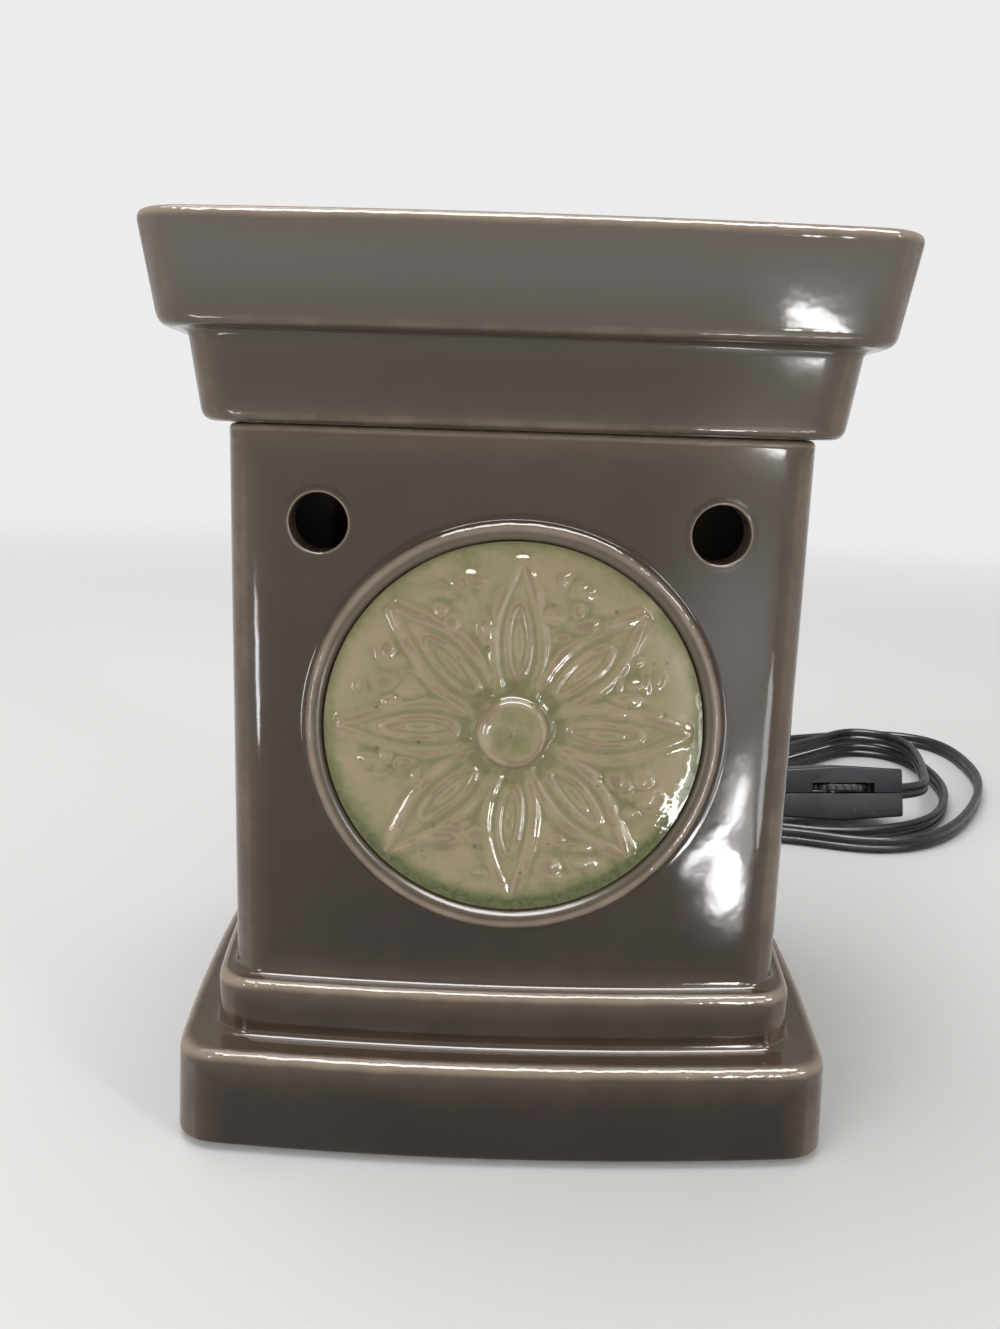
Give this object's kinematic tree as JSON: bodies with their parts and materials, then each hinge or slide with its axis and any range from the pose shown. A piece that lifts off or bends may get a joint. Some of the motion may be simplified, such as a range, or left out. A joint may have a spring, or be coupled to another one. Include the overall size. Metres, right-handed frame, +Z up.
{
  "type": "wax warmer",
  "caption": "Square-column ceramic wax warmer with a stepped plinth, an inset green rosette, a lift-off wax dish over a globe lamp, and a flat lead with an in-line thumb-wheel switch.",
  "frame": {"origin": "on the floor under the middle of the square body", "axes": "+Z up, front with the rosette towards -Y, +X to the right seen from the front"},
  "size_m": [0.2562, 0.3063, 0.164],
  "materials": {
    "brown_glaze": "glossy dark brown glaze breaking to tan on edges",
    "green_glaze": "glossy celadon glaze pooling green in the hollows",
    "base_board": "felt-faced board",
    "rubber": "matte",
    "zinc_steel": "zinc plated",
    "phenolic": "moulded, satin",
    "brass": "bright stamped",
    "clear_glass": "clear",
    "filament": "drawn wire",
    "wire_sleeve": "extruded",
    "cord_black": "soft satin vinyl",
    "switch_black": "fine-textured moulding"
  },
  "bodies": {
    "warmer": {"warmer_body": "brown_glaze", "medallion": "green_glaze", "base_cover": "base_board", "foot_front_left": "rubber", "foot_front_right": "rubber", "foot_back_left": "rubber", "foot_back_right": "rubber", "lamp_nipple": "zinc_steel", "nipple_washer": "zinc_steel", "nipple_nut": "zinc_steel", "socket_cup": "phenolic", "socket_shell": "brass", "socket_contact": "brass", "wire_live": "wire_sleeve", "wire_neutral": "wire_sleeve", "strain_relief": "rubber", "cord_lead": "cord_black", "cord_loops": "cord_black", "cord_tail": "cord_black", "switch_upper_shell": "switch_black", "switch_lower_shell": "switch_black", "switch_axle": "zinc_steel", "switch_screw": "zinc_steel", "plug_body": "cord_black", "plug_blade_left": "brass", "plug_blade_right": "brass"},
    "dish": {"wax_dish": "brown_glaze"},
    "bulb": {"bulb_cap": "brass", "bulb_contact": "zinc_steel", "bulb_glass": "clear_glass", "bulb_stem": "clear_glass", "bulb_filament": "filament"},
    "thumb_wheel": {"switch_wheel": "switch_black"}
  },
  "joints": [
    {"name": "dish_lift", "type": "slide", "parent": "warmer", "child": "dish", "axis": [0, 0, 1], "range_m": [0, 0.06]},
    {"name": "bulb_turn", "type": "hinge", "parent": "warmer", "child": "bulb", "pos_m": [0, 0, 0.0325], "axis": [0, 0, 1], "range_deg": [0, 1080]},
    {"name": "switch_turn", "type": "hinge", "parent": "warmer", "child": "thumb_wheel", "pos_m": [0.1135, 0.13, 0.012], "axis": [-0.0288, 0.2741, 0.9613], "continuous": true}
  ]
}
